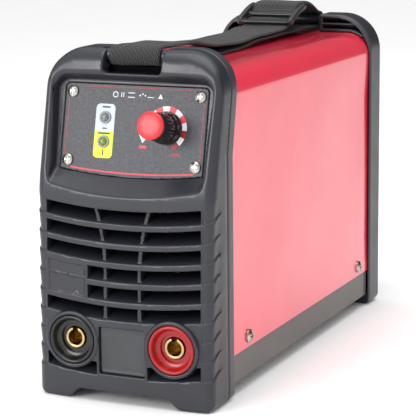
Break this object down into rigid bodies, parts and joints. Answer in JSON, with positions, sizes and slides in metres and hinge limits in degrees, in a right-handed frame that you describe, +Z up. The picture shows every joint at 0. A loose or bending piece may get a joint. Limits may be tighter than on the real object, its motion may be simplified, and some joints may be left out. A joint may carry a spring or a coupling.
{
  "type": "stick welding inverter",
  "caption": "Portable stick welding inverter: moulded front and rear frames, folded metal cover, leaning dial panel, bayonet output sockets and a webbing carry strap.",
  "frame": {"origin": "on the floor under the middle of the overall box, mains lead included", "axes": "+Y from the front face to the rear, +Z up, +X to the positive socket side"},
  "size_m": [0.1188, 0.3628, 0.2196],
  "materials": {
    "charcoal_plastic": "satin moulded ABS, fine grain",
    "red_paint": "glossy red powder coat",
    "tray_paint": "dark grey powder coat",
    "zinc_steel": "zinc plated",
    "panel_black": "grained black film on a plate",
    "bezel_grey": "satin",
    "led_clear": "water-clear epoxy lens",
    "led_green": "tinted epoxy lens",
    "knob_black": "gloss black",
    "knob_red": "gloss red",
    "socket_black": "gloss black thermoset",
    "socket_red": "gloss red thermoset",
    "brass": "turned brass",
    "copper": "bare copper strip",
    "webbing": "woven polypropylene webbing",
    "buckle_black": "moulded acetal, worn gloss",
    "fan_black": "moulded, satin",
    "guard_wire": "plated wire",
    "switch_black": "moulded",
    "rocker_red": "gloss red",
    "gland_black": "moulded nylon",
    "cable_sheath": "matte rubber sheath",
    "plug_pin_metal": "nickel plated",
    "board_green": "solder mask",
    "bare_aluminium": "extruded, bare",
    "component_black": "moulded epoxy",
    "ferrite": "ferrite",
    "winding": "enamelled copper winding",
    "capacitor_sleeve": "shrink sleeve",
    "relay_blue": "moulded"
  },
  "bodies": {
    "root": {"front_frame": "charcoal_plastic", "rear_frame": "charcoal_plastic", "top_cover": "red_paint", "base_tray": "tray_paint", "cover_screws": "zinc_steel", "control_panel": "panel_black", "panel_screws": "zinc_steel", "led_bezels": "bezel_grey", "power_led": "led_clear", "fault_led": "led_green", "pot_body": "zinc_steel", "pot_nut": "zinc_steel", "negative_socket": "socket_black", "positive_socket": "socket_red", "negative_contact": "brass", "positive_contact": "brass", "socket_nuts": "brass", "output_busbars": "copper", "blank_plate": "charcoal_plastic", "front_strap_bar": "charcoal_plastic", "rear_strap_bar": "charcoal_plastic", "strap_front_loop": "webbing", "strap_rear_loop": "webbing", "strap_lower": "webbing", "fan_frame": "fan_black", "fan_screws": "zinc_steel", "fan_guard": "guard_wire", "switch_housing": "switch_black", "cable_gland": "gland_black", "gland_nut": "gland_black", "mains_cable": "cable_sheath", "mains_plug": "cable_sheath", "plug_pins": "plug_pin_metal", "main_pcb": "board_green", "pcb_standoffs": "brass", "left_heatsink": "bare_aluminium", "right_heatsink": "bare_aluminium", "power_transistors": "component_black", "transformer_core": "ferrite", "transformer_windings": "winding", "output_choke": "winding", "filter_capacitors": "capacitor_sleeve", "rectifier_bridge": "component_black", "inrush_relay": "relay_blue", "control_pcb": "board_green"},
    "knob": {"pot_shaft": "bare_aluminium", "current_knob": "knob_black", "knob_cap": "knob_red"},
    "fan": {"fan_rotor": "fan_black"},
    "rocker": {"switch_rocker": "rocker_red"},
    "strap": {"strap_upper": "webbing", "strap_buckle": "buckle_black"}
  },
  "joints": [
    {"name": "knob_turn", "type": "hinge", "parent": "root", "child": "knob", "pos_m": [0.0215, -0.15788, 0.16575], "axis": [0, -0.9744, 0.225], "range_deg": [-135, 135]},
    {"name": "fan_spin", "type": "hinge", "parent": "root", "child": "fan", "pos_m": [0, 0.107, 0.096], "axis": [0, 1, 0], "continuous": true},
    {"name": "power_rocker", "type": "hinge", "parent": "root", "child": "rocker", "pos_m": [-0.027, 0.118, 0.172], "axis": [1, 0, 0], "range_deg": [-18, 0]},
    {"name": "strap_lift", "type": "slide", "parent": "root", "child": "strap", "axis": [0, 0, 1], "range_m": [0, 0.03]}
  ]
}
